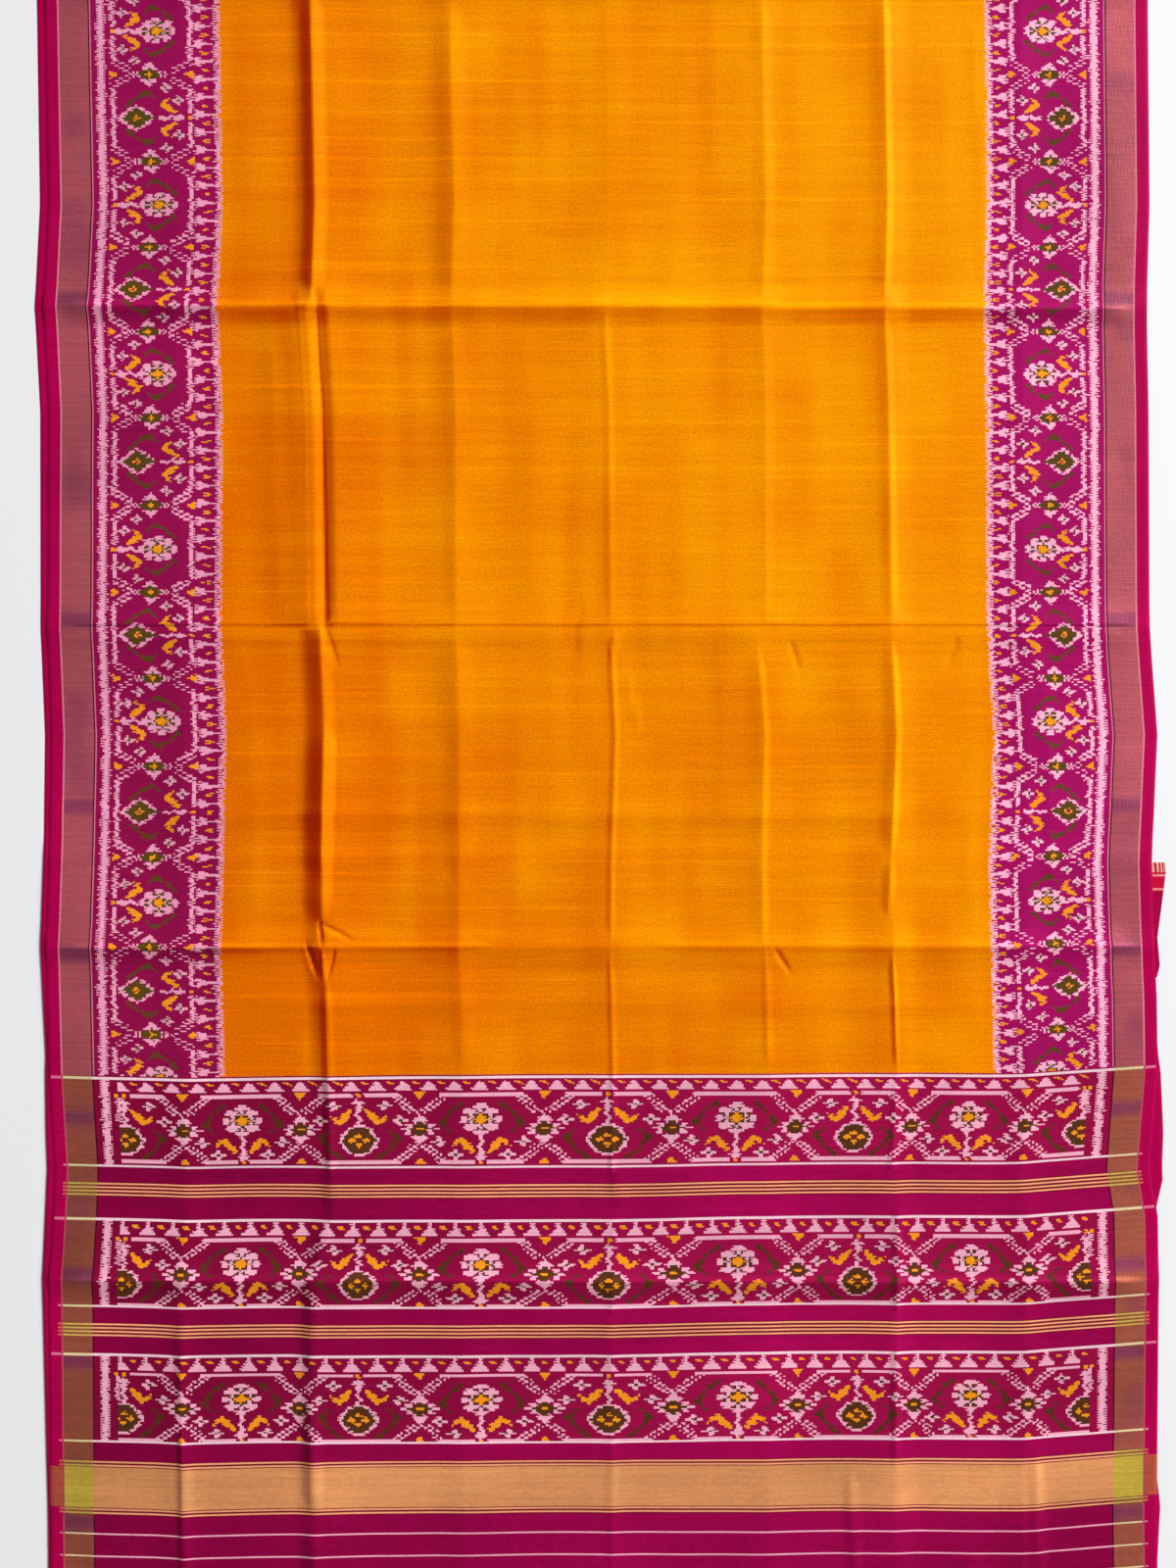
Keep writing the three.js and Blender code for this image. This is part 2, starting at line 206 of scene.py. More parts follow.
def fineForm(over, down):
    height = np.zeros(np.broadcast(over, down).shape)
    for across, along, size, start in swells:
        sway = swellSway.size * np.sin(down / swellSway.length)
        wave = np.sin(over * 2 * math.pi / across + start + sway)
        height = height + size * wave * np.sin(down * 2 * math.pi / along + start * swellSway.startShare)
    for over0, down0, over1, down1, size, before, after in smallCreases:
        runX, runY = over1 - over0, down1 - down0
        length = math.hypot(runX, runY)
        along = ((over - over0) * runX + (down - down0) * runY) / length
        aside = ((over - over0) * runY - (down - down0) * runX) / length
        aside = aside if abs(runY) > abs(runX) else -aside
        ease = min(length * creaseEnds.share, creaseEnds.longest)
        overrun = creaseEnds.overrun
        fade = smooth(along, -overrun, ease) * (1 - smooth(along, length - ease, length + overrun))
        reach = np.where(aside < 0, before, after) * (0.5 + 0.5 * fade)
        height = height + size * ridge(aside, reach) * fade
    calm = smooth(fromSelvedge(over), 0, calmWithin.selvedge) * smooth(down, 0, calmWithin.fold)
    calm = calm * smooth(cloth.palluEnd - down, 0, calmWithin.end)
    return (height + fineLift) * calm


hem = Facts(turn=4.0, drop=0.9)  # the selvedge dips onto the layer beneath


def hemDip(over, down):
    edge = np.minimum(fromSelvedge(over), cloth.palluEnd - down)
    return hem.drop * (1 - np.clip(edge / hem.turn, 0, 1)) ** 2


def topHeight(over, down):
    return underside(over, down) + cloth.wall + fineForm(over, down) - hemDip(over, down)


def sideReach(table, down):
    return [lookUp(down, table, side) for side in (1, 2)]


def betweenEdges(over, left, right):
    return -left + (right + left) * over / cloth.width


def planX(over, down):
    return betweenEdges(over, *sideReach(topEdges, down))


def hiddenX(over, down):
    return betweenEdges(over, *np.add(sideReach(topEdges, down), sideReach(hiddenEdges, down)))


# the weft lies a little askew towards the pallu: how far towards the viewer it is, at each place across
weftBow = np.array([
    # over, shift
    (0, 0.5), (60, 2), (150, 4.5), (250, 2.5), (400, 1), (560, 0), (700, 0), (860, -1.5), (985, -0.5),
    (1050, -5.5), (1130, -11.5),
])
# and how much further it sags between the lengthwise folds in the figured bands
weftSag = np.array([(0, 0), (208, -1), (308, 1.5), (408, 2.7), (608, 2.7), (700, 0), (1130, 0)])
weftSpans = Facts(bowSets=(1420, 1850), sagSets=(1780, 1880), sagEnds=(2120, 2170), straightEnd=120)
bowOver = np.arange(0, cloth.width + 1, 10.0)


def evenly(table, rounds=6):
    shift = lookUp(bowOver, table)
    for _ in range(rounds):
        shift[1:-1] = (shift[:-2] + 2 * shift[1:-1] + shift[2:]) / 4
    return shift


bowShift, sagShift = evenly(weftBow), evenly(weftSag)


# the place along the cloth of a weft thread
def downOf(weft, over):
    bow = np.interp(over, bowOver, bowShift) * smooth(weft, *weftSpans.bowSets)
    sag = np.interp(over, bowOver, sagShift) * smooth(weft, *weftSpans.sagSets)
    sag = sag * (1 - smooth(weft, *weftSpans.sagEnds))
    return weft + (bow + sag) * smooth(cloth.palluEnd - weft, 0, weftSpans.straightEnd)


def silkColour(red, green, blue):
    share = np.array([red, green, blue]) / 255
    return np.where(share <= 0.04045, share / 12.92, ((share + 0.055) / 1.055) ** 2.4)


dyes = {
    "borderGround": (170, 14, 100),
    "palluGround": (146, 12, 63),
    "pink": (232, 158, 192),
    "palePink": (238, 168, 190),
    "olive": (86, 66, 22),
    "darkOlive": (84, 48, 22),
    "ikatOrange": (240, 148, 28),
    "selvedge": (172, 2, 72),
    "thinLight": (214, 124, 140),
    "thinDark": (70, 4, 36),
    "palluThin": (184, 74, 92),
    "zari": (176, 80, 92),
    "purpleZari": (112, 34, 84),
    "palluZari": (150, 76, 58),
    "goldLine": (246, 166, 118),
    "lineGap": (112, 8, 40),
    "zariGold": (208, 180, 84),
    "edgeGold": (206, 104, 74),
    "cream": (238, 216, 166),
    "white": (242, 204, 214),
    "edgeWhite": (218, 112, 146),
    "gold": (230, 154, 98),
    "redGold": (190, 82, 64),
    "yellowGold": (206, 176, 66),
    "deepOrange": (236, 120, 0),
    "brightOrange": (252, 150, 0),
    "cornerCrimson": (168, 4, 66),
    "cornerRed": (196, 16, 52),
    "cornerPink": (232, 150, 150),
    "cornerCream": (226, 176, 150),
}
dyes = {name: silkColour(*rgb) for name, rgb in dyes.items()}
ground, pink, olive, orange = 0, 1, 2, 3
dyed, metal, field = 0, 1, 2  # which silk a face is made of

# charts of the traditional figures: P pink, O olive, G orange, m the ground, . leaves what lies there
letters = {".": -1, "m": ground, "P": pink, "O": olive, "G": orange}
charts = {
    "flower": """
    .....PP
    ....PPP
    ..PP.OP
    .PPPPOP
    .PPPPPO
    ..OPOOG
    PPOPOGG
    PPPOGGG
    """,
    "oval": """
    ......PPP
    ....PPOOO
    ...POOOOO
    ..PPOOOOO
    .PPOOOOOG
    .POOOOOGG
    PPOOOGOOO
    POOOGGGOm
    """,
    "longOval": """
    ......O......
    .....POP.....
    ....POOOP....
    ...PPOOOPP...
    ..P.OOOOO.P..
    .PPOOOOOOOPP.
    .POOOOGOOOOP.
    P.OOOGmGOOO.P
    .POOOOGOOOOP.
    .PPOOOOOOOPP.
    ..P.OOOOO.P..
    ...PPOOOPP...
    ....PPOPP....
    .....PPP.....
    ......P......
    """,
    "diamond": """
    ........P
    .......PP
    ......PPP
    .....PPPP
    ......POO
    ..PPP.OOO
    ...PPOOOO
    PPPOOOOGG
    """,
    "wideDiamond": """
    ......P
    .....P.
    ......P
    .....PO
    .....OO
    ...P.OO
    ..PPOOO
    .PPPOOG
    PPPOOGG
    """,
    "floret": """
    ...PP...
    .OPPPO..
    PPPOOPPP
    ..OPPPO.
    ...PP...
    """,
    "leaf": """
    ....GG.....
    ..GGGGG....
    .GGGGGGG...
    .GG..GGGG..
    G....GGGGG.
    ......GGGG.
    ........GGG
    .........GG
    """,
    "crescent": """
    .........OO.
    ........OOO.
    ......OOO...
    ......OO....
    ....OO......
    ....O.......
    ..OOO.......
    ..OO........
    OOOO........
    OOO.........
    .OOO........
    ...O........
    ....OO......
    """,
    "stem": """
    .PP.
    .PP.
    ..PP
    .PP.
    PP..
    .PP.
    .PPP
    PPPP
    .PP.
    """,
    "foot": """
    ..P...
    PPPPPP
    .PPPP.
    ..P...
    """,
}
charts = {name: [[letters[c] for c in row] for row in rows.split()] for name, rows in charts.items()}
for name in ("flower", "oval", "diamond", "wideDiamond"):  # of these only the upper left quarter is written
    half = [row + row[-2::-1] for row in charts[name]]
    charts[name] = half + half[-2::-1]

repeat = 246.0  # flower to flower in the pallu; the side borders are the same figures turned and shortened
ovalAt = repeat / 2
diamondsAt = (61.5, 184.5)

# chart, place along the weft, how far to both sides of it, towards the viewer, stitch wide and high; a height
# below zero turns the chart upside down
palluFigures = [
    ("crescent", 0, 29, -12, 2.3, 2.3),
    ("crescent", ovalAt, 29, 15, 2.3, -2.3),
    ("stem", 0, 0, 17, 1.9, 2.5),
    ("foot", 0, 0, 28, 2.2, 1.8),
    ("stem", ovalAt, 0, -15, 1.9, -2.5),
    ("foot", ovalAt, 0, -27, 2.2, -1.8),
    ("flower", 0, 0, -9.5, 3.1, 2.1),
    ("oval", ovalAt, 0, 11, 2.4, 2.05),
    ("diamond", diamondsAt[0], 0, 0, 2.3, 2.05),
    ("diamond", diamondsAt[1], 0, 0, 2.3, 2.05),
    ("leaf", 0, 18, 15.5, 2.1, 1.95),
    ("leaf", ovalAt, 18, -12.5, 2.1, -1.95),
    ("floret", 0, 42, 12.5, 2.0, 2.0),
    ("floret", 0, 26, 25, 2.0, 2.0),
    ("floret", ovalAt, 41, -9, 2.0, 2.0),
    ("floret", ovalAt, 26, -24, 2.0, 2.0),
]
# figures of a side border, along it and towards its selvedge
sideFigures = [
    ("crescent", 0, 25, -8, 2.1, 2.0),
    ("crescent", ovalAt, 26, 9, 2.1, -2.0),
    ("stem", 0, 0, 18.5, 2.4, 2.7),
    ("stem", ovalAt, 0, -18, 2.0, -2.4),
    ("flower", 0, 0, -5.5, 2.8, 2.2),
    ("longOval", ovalAt, 0, 12.8, 2.9, 2.25),
    ("wideDiamond", diamondsAt[0], 0, 1, 2.7, 1.9),
    ("wideDiamond", diamondsAt[1], 0, 1, 2.7, 1.9),
    ("leaf", 0, 17, 15.5, 2.1, 1.75),
    ("leaf", ovalAt, 17, -15.5, 2.1, -1.75),
    ("floret", 0, 26, 24, 1.7, 2.1),
    ("floret", 0, 42, 13.5, 1.7, 2.1),
    ("floret", ovalAt, 24, -24, 1.7, 2.1),
    ("floret", ovalAt, 42, -13, 1.7, 2.1),
]
# checked diagonals from the tips of the diamonds: size of a check, where they start and how they lean
palluChecks = Facts(wide=3.9, high=2.6, start=15, begin=3.6, lean=1.12, half=6.6, lineFrom=20, line=1.6,
                    fray=0)
sideChecks = Facts(wide=3.6, high=4.6, start=17.5, begin=3, lean=1.0, half=7, lineFrom=20, line=1.7,
                   fray=0.6)

# marks across a figured strip, measured from its middle
strip = Facts(
    far=-37, near=35, farLine=-34, nearLine=32.5,
    lineGap=6,  # the lines stop this far from a flower's or an oval's stem
    checkFill=0.4, checkEnd=35, notch=6, notchLean=0.75, nearKnot=33, knotWide=2, knotHigh=1.9,
)
notchDepths = ((strip.far, 1, 7.5), (strip.near, -1, 6.5))  # from where, which way and how deep


def fromPlace(a, place):
    return (a - place + repeat / 2) % repeat - repeat / 2


# which dye each point takes: a along the repeat, b across it
def paintCells(a, b, figures, checks, fray):
    code = np.full(a.shape, ground)
    first, second = [fromPlace(a, at) for at in diamondsAt]
    fromDiamond = np.where(abs(first) < abs(second), first, second)
    aside = abs(fromDiamond)
    fromFlower, fromOval = abs(fromPlace(a, 0)), abs(fromPlace(a, ovalAt))
    for at, fromStem in ((strip.farLine, fromOval), (strip.nearLine, fromFlower)):
        onLine = abs(b - at + fray * checks.fray) < checks.line
        code[onLine & (aside > checks.lineFrom) & (fromStem > strip.lineGap)] = pink
    reach = abs(b)
    middle = checks.begin + checks.lean * (reach - checks.start)
    across, along = fromDiamond / checks.wide, b / checks.high
    checked = (np.floor(across) + np.floor(along)) % 2 == 0
    checked &= abs(across % 1 - 0.5) < strip.checkFill
    checked &= within(reach, checks.start, strip.checkEnd)
    code[checked & (abs(aside - middle) < checks.half)] = pink
    for end, inward, depth in notchDepths:
        into = (b - end) * inward
        code[within(into, 0, depth) & (aside < strip.notch - into * strip.notchLean)] = orange
    for at, fromStem in ((strip.farLine, fromOval), (strip.nearKnot, fromFlower)):
        code[(abs(b - at) < strip.knotHigh) & (fromStem < strip.knotWide)] = orange
    for name, place, both, placeB, wide, high in figures:
        chart = np.array(charts[name])
        rows, columns = chart.shape
        row = np.floor((b - placeB) / high + rows / 2).astype(int)
        for side in ([-1, 1] if both else [-1]):
            da = fromPlace(a, place + side * both) * -side
            column = np.floor(da / wide + columns / 2).astype(int)
            inside = (column >= 0) & (column < columns) & (row >= 0) & (row < rows)
            found = chart[row.clip(0, rows - 1), column.clip(0, columns - 1)]
            code = np.where(inside & (found >= 0), found, code)
    return code


# where the flowers stand along a side border, and flowers and ovals across the pallu
sideFlowers = np.array([165.8, 343.2, 520.6, 698, 875, 1047, 1226, 1401, 1585, 1762])
palluPlaces = np.array([
    # over, repeats
    (-44.5, -1), (75.5, -0.5), (195.5, 0), (315, 0.5), (440, 1), (570, 1.5), (702, 2), (823, 2.5), (939, 3),
    (1056, 3.5), (1177, 4),
])


def sidePhase(down):
    first, last = 2 * sideFlowers[[0, -1]] - sideFlowers[[1, -2]]
    return np.interp(down, [first, *sideFlowers, last], np.arange(-1, len(sideFlowers) + 1)) * repeat


def palluPhase(over):
    return lookUp(over, palluPlaces) * repeat


sides = {
    # distances from the selvedge, and the painted shade on the border's ground and the painted light and
    # shade on its pink
    "left": Facts(selvedge=13, zariEnd=44.5, stripe=57, outerLine=69, innerLine=148, spikes=153,
                  fieldAt=177, groundTone=(0.78, 0.71, 0.64), pinkTone=(1.02, 0.95, 0.9)),
    "right": Facts(selvedge=13, zariEnd=43.5, stripe=56, outerLine=66.8, innerLine=140.5, spikes=146,
                   fieldAt=165, groundTone=(0.92, 0.9, 0.89), pinkTone=(1.18, 1.3, 1.14)),
}
toneAt = (700, 1200, 1700)  # where along the border the painted shade of the ground takes those values
thinLines = Facts(outer=1.6, dark=1.4, inner=2.6)  # how far from the zari strip its thin lines end
sideStrip = Facts(between=66.5, middle=32.5, far=-37.5, near=36.5)  # the strip before it is scaled
stripeHalf = 3.6
spike = Facts(
    pitch=18.0,
    outline=([0, 6, 9, 11, 20], [5.0, 3.6, 1.9, 1.1, 0.9]),  # distance from its foot, half its width
    dot=(8, 13),  # the orange dots between the spikes, from where to where
    dotHalf=1.7,
    fray=1.3,
)
fieldSeam = Facts(before=3.2, after=1.3, fray=1.5)  # pink threads on both sides of the field's edge


# how far each weft thread has slipped sideways, every other one more
def rowShifts(seed, count, size, zigzag=0.0):
    slips = np.random.default_rng(seed).normal(0, size, count)
    slips[::2] += zigzag
    slips[1::2] -= zigzag
    return slips[:, None]


# uneven dye from thread to thread
def tint(colours, seed, size):
    rng = np.random.default_rng(seed)
    rows, columns = colours.shape[:2]
    share = 1 + size * rng.normal(0, 1, (rows, columns)) + 0.6 * size * rng.normal(0, 1, (rows, 1))
    return np.clip(colours * share[..., None], 0, 1)


# smooth random values from -1 to 1, one for each patch of a given size
def patches(over, down, across, along, seed):
    table = np.random.default_rng(seed).uniform(-1, 1, (97, 97))
    u, v = over / across + 7.3, down / along + 3.1
    i, j = np.floor(u).astype(int), np.floor(v).astype(int)
    right, near = smooth(u - i, 0, 1), smooth(v - j, 0, 1)
    far = table[i % 97, j % 97] * (1 - right) + table[(i + 1) % 97, j % 97] * right
    close = table[i % 97, (j + 1) % 97] * (1 - right) + table[(i + 1) % 97, (j + 1) % 97] * right
    return far * (1 - near) + close * near


# the orange of the field, with painted shade towards the left and towards the pallu, and uneven in random
# patches: the painted light at a place across, the painted shade it takes on along the cloth, and its patches
fieldPaintedLight = np.array([(180, 0.05), (250, 0.1), (330, 0.3), (470, 0.66), (700, 0.85), (960, 1.0)])
fieldPaintedShade = ((950, 1100, 0.12), (1280, 1420, 0.3), (1600, 1680, 0.15))  # down from, down to, loss
fieldPatches = ((46, 60, 1, 0.34), (17, 260, 2, 0.26), (420, 7, 3, 0.2))  # across, along, seed, share


def fieldColour(over, down):
    # painted light across the field, darker to the left, and painted shade along it towards the pallu
    share = lookUp(over, fieldPaintedLight)
    for start, end, loss in fieldPaintedShade:
        share = share - loss * smooth(down, start, end)
    for across, along, seed, size in fieldPatches:
        share = share + size * patches(over, down, across, along, seed)
    share = np.clip(share, -0.3, 1.15)[..., None]
    return np.clip(dyes["deepOrange"] * (1 - share) + dyes["brightOrange"] * share, 0, 1)


# zari shows purple in random patches, and painted shade turns it purple in bands beside the folds
purple = Facts(bands=(319, 645, 971, 1298, 1488, 1638, 1804, 1963, 2052, 2216), bandReach=(2, 13),
               bandShare=0.65, patch=(40, 42), patchSeed=5, patchShare=0.35)


def zariColour(over, down, name):
    share = smooth(patches(over, down, *purple.patch, purple.patchSeed), 0.25, 1.0) * purple.patchShare
    # painted shade: purple bands beside the folds
    for at in purple.bands:
        share = np.maximum(share, purple.bandShare * (1 - smooth(abs(down - at), *purple.bandReach)))
    share = share[..., None]
    return dyes[name] * (1 - share) + dyes["purpleZari"] * share


# selvedge, zari strip and the dark thread after it, and where the selvedge, the thin line and the zari are
def trimEdge(colours, edge, zones, zari):
    start, end = zones.selvedge, zones.zariEnd
    inSelvedge = edge < start
    onThin = (edge >= start) & (edge <= start + thinLines.outer)
    inZari = within(edge, start + thinLines.outer, end)
    colours = np.where(inZari[..., None], zari, colours)
    colours[inSelvedge] = dyes["selvedge"]
    colours[(edge >= end) & (edge < end + thinLines.dark)] = dyes["thinDark"]
    return colours, inSelvedge, onThin, inZari


def paintSide(over, down, side, seed):
    zones = sides[side]
    edge = over if side == "left" else cloth.width - over
    count = edge.shape[0]
    slip = rowShifts(seed, count, 0.8)
    fray = rowShifts(seed + 1, count, 0.8, 1.1)
    scale = (zones.innerLine - zones.outerLine) / sideStrip.between
    middle = zones.outerLine + sideStrip.middle * scale
    b = (middle - (edge + slip)) / scale
    code = paintCells(sidePhase(down), b, sideFigures, sideChecks, fray / scale)
    code[(b > sideStrip.near) | (b < sideStrip.far)] = ground
    code[abs(edge - zones.stripe + fray) < stripeHalf] = pink
    # temple spikes between the figures and the field
    along = abs((down % spike.pitch) - spike.pitch / 2)
    rise = edge + fray * spike.fray - zones.spikes
    reach, half = spike.outline
    code[within(rise, 0, reach[-1]) & (along < np.interp(rise, reach, half))] = pink
    code[within(rise, *spike.dot) & (spike.pitch / 2 - along < spike.dotHalf)] = orange
    atSeam = edge + fray * fieldSeam.fray - zones.fieldAt
    code[atSeam > -fieldSeam.before] = pink
    # painted shade on the ground, deepest on the left border towards the pallu, and painted light and shade
    # on the pink
    tone = np.interp(down, toneAt, zones.groundTone)[..., None]
    colours = np.choose(code[..., None], [
        dyes["borderGround"] * tone ** (1, 0, 1.8), dyes["pink"] * zones.pinkTone, dyes["olive"],
        dyes["ikatOrange"]])
    colours, inSelvedge, onThin, inZari = trimEdge(colours, edge, zones, zariColour(over, down, "zari"))
    zariEnd = zones.zariEnd
    onThin |= (edge >= zariEnd + thinLines.dark) & (edge < zariEnd + thinLines.inner)
    colours[onThin] = dyes["thinLight"]
    inField = atSeam > fieldSeam.after
    colours = np.where(inField[..., None], fieldColour(over, down), colours)
    return tint(colours, seed + 2, 0.035), np.where(inZari, metal, np.where(inField, field, dyed))


bands = [
    # first and last line of an ikat band, the middle of its figures, how high its triangles rise, and the
    # dashes between those: where, how they lean, half their height and half their width
    Facts(first=1762.8, last=1852, middle=1814.5, rise=10, dash=(8, 0.3, 1.0, 3.8)),
    Facts(first=1906.5, last=1995, middle=1960.5, rise=14, dash=(8.5, 0, 1.8, 2.6)),
    Facts(first=2044.5, last=2132.5, middle=2098, rise=14, dash=(8.5, 0, 1.8, 2.6)),
]
firstHalf, lastHalf = 1.35, 1.05  # half the thickness of those lines
goldLines = [1870.4, 1874.1, 1877.8, 1881.5, 2013.6, 2017.3, 2021, 2024.7, 2153.4, 2157, 2201.6, 2205.2]
goldHalf, gapHalf = 0.85, 1.9
goldBand = (2158.8, 2199.8)
whiteLines = [2226.5, 2249.2, 2272, 2295.5, 2318, 2340.5]
whiteHalf = 0.8
lineTurn, firstTurn = 8, 3  # where an extra weft turns back, from the selvedge
triangle = Facts(
    pitch=26.2,
    first=20.1,
    foot=38.6,  # from the middle of the figures
    outline=([0, 2.5, 5, 7.5, 9, 14], [9.4, 7.2, 5.0, 3.2, 1.8, 1.4]),  # height over the foot, half the width
)
# both ends of a figured band: the frayed stripe, from the selvedge, and the rest from that stripe
bandEnd = Facts(stripe=57, triangles=12, figures=13.5, line=13, lineHalf=1.7, lineSpan=(-33, -7), knot=11,
                knotHalf=(2.4, 1.6))
# painted light on the pallu's ground: darker towards the left and brightest right of the middle
palluPaintedLight = np.array([
    # over, share of the light
    (0, 0.74), (143, 0.76), (283, 0.83), (423, 0.93), (563, 1.03), (703, 1.2), (843, 1.17), (983, 1.08),
    (1110, 0.97),
])
# painted shade at the right of the pallu's end
rightPaintedShade = Facts(most=0.2, weft=(2150, 2260), over=(560, 700))
plainGround = (1.06, 0.4, 1.22)  # the ground outside the figured bands, as a share of theirs
# painted light on the pallu's zari, brighter towards the right
zariPaintedLight = Facts(most=0.25, over=(500, 700))


def paintPallu(over, weft, seed):
    edge = fromSelvedge(over)
    count = edge.shape[0]
    slip = rowShifts(seed, count, 0.5)
    fray = rowShifts(seed + 1, count, 0.7, 1.0)
    # painted light and painted shade on the pallu's ground
    dim = rightPaintedShade.most * smooth(weft, *rightPaintedShade.weft) * smooth(over, *rightPaintedShade.over)
    tone = lookUp(over, palluPaintedLight) - dim
    magenta = dyes["palluGround"] * tone[..., None] ** (1, 1, 1.15)
    colours = magenta * plainGround
    a = palluPhase(over + slip)
    fromStripe = edge - bandEnd.stripe
    pitch = triangle.pitch
    for band in bands:
        b = weft - band.middle
        code = paintCells(a, b, palluFigures, palluChecks, 0)
        code[(b < strip.far) | (b > strip.near) | (fromStripe < bandEnd.figures)] = ground
        # the row of triangles above the figures
        rise = band.middle - triangle.foot - weft
        along = ((over + slip - triangle.first + pitch / 2) % pitch) - pitch / 2
        half = np.interp(rise, *triangle.outline) + fray * 0.6
        inside = fromStripe > bandEnd.triangles
        code[within(rise, 0, band.rise) & (abs(along) < half) & inside] = pink
        gap = ((over + slip - triangle.first) % pitch) - pitch / 2
        at, lean, high, wide = band.dash
        code[(abs(rise - at + lean * gap) < high) & (abs(gap) < wide) & inside] = orange
        # the frayed stripe and the line inside it, at both ends
        code[abs(fromStripe + fray) < stripeHalf] = pink
        onLine = abs(fromStripe - bandEnd.line + fray) < bandEnd.lineHalf
        code[onLine & within(b, *bandEnd.lineSpan)] = pink
        wide, high = bandEnd.knotHalf
        code[(abs(fromStripe - bandEnd.knot) < wide) & (abs(b - strip.farLine) < high)] = orange
        painted = np.choose(code[..., None], [
            magenta, dyes["palePink"], dyes["darkOlive"], dyes["ikatOrange"]])
        inBand = within(weft, band.first, band.last)
        colours = np.where(inBand[..., None], painted, colours)
    zari = zariColour(over, weft, "palluZari")
    # painted light on the zari, brighter towards the right
    zari = zari * (1 + zariPaintedLight.most * smooth(over, *zariPaintedLight.over))[..., None]
    colours, inSelvedge, onThin, inZari = trimEdge(colours, edge, sides["left"], zari)

    # an extra weft
    def line(at, half, turn, dye, atZari, atEdge):
        here = (abs(weft - at) < half) & (edge > turn)
        colours[here] = dyes[dye]
        colours[here & inZari] = dyes[atZari]
        colours[here & inSelvedge] = dyes[atEdge]

    for band in bands:
        line(band.first, firstHalf, firstTurn, "white", "cream", "edgeWhite")
        line(band.last, lastHalf, lineTurn, "white", "cream", "edgeWhite")
    for at in goldLines:
        line(at, gapHalf, lineTurn, "lineGap", "palluZari", "selvedge")
        line(at, goldHalf, lineTurn, "goldLine", "zariGold", "edgeGold")
    for at in whiteLines:
        line(at, whiteHalf, lineTurn, "palePink", "cream", "edgeWhite")
    inGold = within(weft, *goldBand)
    colours[inGold] = dyes["gold"]
    colours[inGold & inSelvedge] = dyes["redGold"]
    colours[inGold & inZari] = dyes["yellowGold"]
    colours[onThin] = dyes["palluThin"]
    return tint(colours, seed + 2, 0.035), np.where(inZari | inGold, metal, dyed)


# materials
def newMaterial(name):
    material = bpy.data.materials.new(name)
    material.use_nodes = True
    return material, material.node_tree


def place(tree, kind, **settings):
    node = tree.nodes.new(kind)
    node.location = (200 * len(tree.nodes) - 400, 700)  # in a row, in the order they are made
    for name, value in settings.items():
        setattr(node, name, value)
    return node


def mathNode(tree, operation, first, second=None):
    node = place(tree, "ShaderNodeMath", operation=operation)
    for socket, value in zip(node.inputs, (first, second)):
        if hasattr(value, "is_linked"):
            tree.links.new(value, socket)
        elif value is not None:
            socket.default_value = value
    return node.outputs[0]


def stretchedNoise(tree, coords, scale, detail):
    stretch = place(tree, "ShaderNodeMapping")
    stretch.inputs["Scale"].default_value = scale
    noise = place(tree, "ShaderNodeTexNoise")
    noise.inputs["Scale"].default_value = 1
    noise.inputs["Detail"].default_value = detail
    tree.links.new(coords, stretch.inputs["Vector"])
    tree.links.new(stretch.outputs["Vector"], noise.inputs["Vector"])
    return noise.outputs["Fac"]


# a value that goes from low to high as another goes from start to end
def spanNode(tree, value, low, high, start, end):
    span = place(tree, "ShaderNodeMapRange")
    for name, limit in zip(("From Min", "From Max", "To Min", "To Max"), (start, end, low, high)):
        span.inputs[name].default_value = limit
    tree.links.new(value, span.inputs["Value"])
    return span.outputs["Result"]


# colour darkened or lightened as a value goes from start to end
def multiplyTint(tree, colour, amount, low, high, start=0.3, end=0.7):
    mix = place(tree, "ShaderNodeVectorMath", operation="SCALE")
    tree.links.new(colour, mix.inputs[0])
    tree.links.new(spanNode(tree, amount, low, high, start, end), mix.inputs["Scale"])
    return mix.outputs["Vector"]


silkLook = {
    "dyed": Facts(rough=0.5, metal=0.0, gloss=0.12, glow=(1, 0.2, 0.55), uneven=0.09, bump=0.25, grain=0.0006,
                 ribs=(60, 620, 1), warp=(640, 90, 1)),
    "metal": Facts(rough=0.46, metal=0.25, gloss=0.3, glow=(1, 0.8, 0.6), uneven=0.16, bump=0.4, grain=0.0006,
                  ribs=(60, 420, 1), warp=(900, 90, 1)),
    "field": Facts(rough=0.45, metal=0.0, gloss=0.2, glow=(1, 0.5, 0.02), bump=0.3, grain=0.0005, twill=2250,
                  chevron=0.011, lean=0.8, threads=(14, 600, 1), specks=(330, 420, 1), slubs=(2.0, 190, 1)),
}


# a silk whose colour is the dye of its sheet; returns what the rest of its nodes needs
def startSilk(name, look):
    material, tree = newMaterial(name)
    shader = tree.nodes["Principled BSDF"]
    coords = place(tree, "ShaderNodeTexCoord").outputs["Object"]
    colour = place(tree, "ShaderNodeAttribute", attribute_name="dye").outputs["Color"]
    shader.inputs["Roughness"].default_value = look.rough
    shader.inputs["Metallic"].default_value = look.metal
    shader.inputs["Specular IOR Level"].default_value = look.gloss
    shader.inputs["Specular Tint"].default_value = (*look.glow, 1)
    return material, tree, shader, coords, colour


def addBump(tree, height, look, shader):
    bump = place(tree, "ShaderNodeBump")
    bump.inputs["Strength"].default_value = look.bump
    bump.inputs["Distance"].default_value = look.grain
    tree.links.new(height, bump.inputs["Height"])
    tree.links.new(bump.outputs["Normal"], shader.inputs["Normal"])


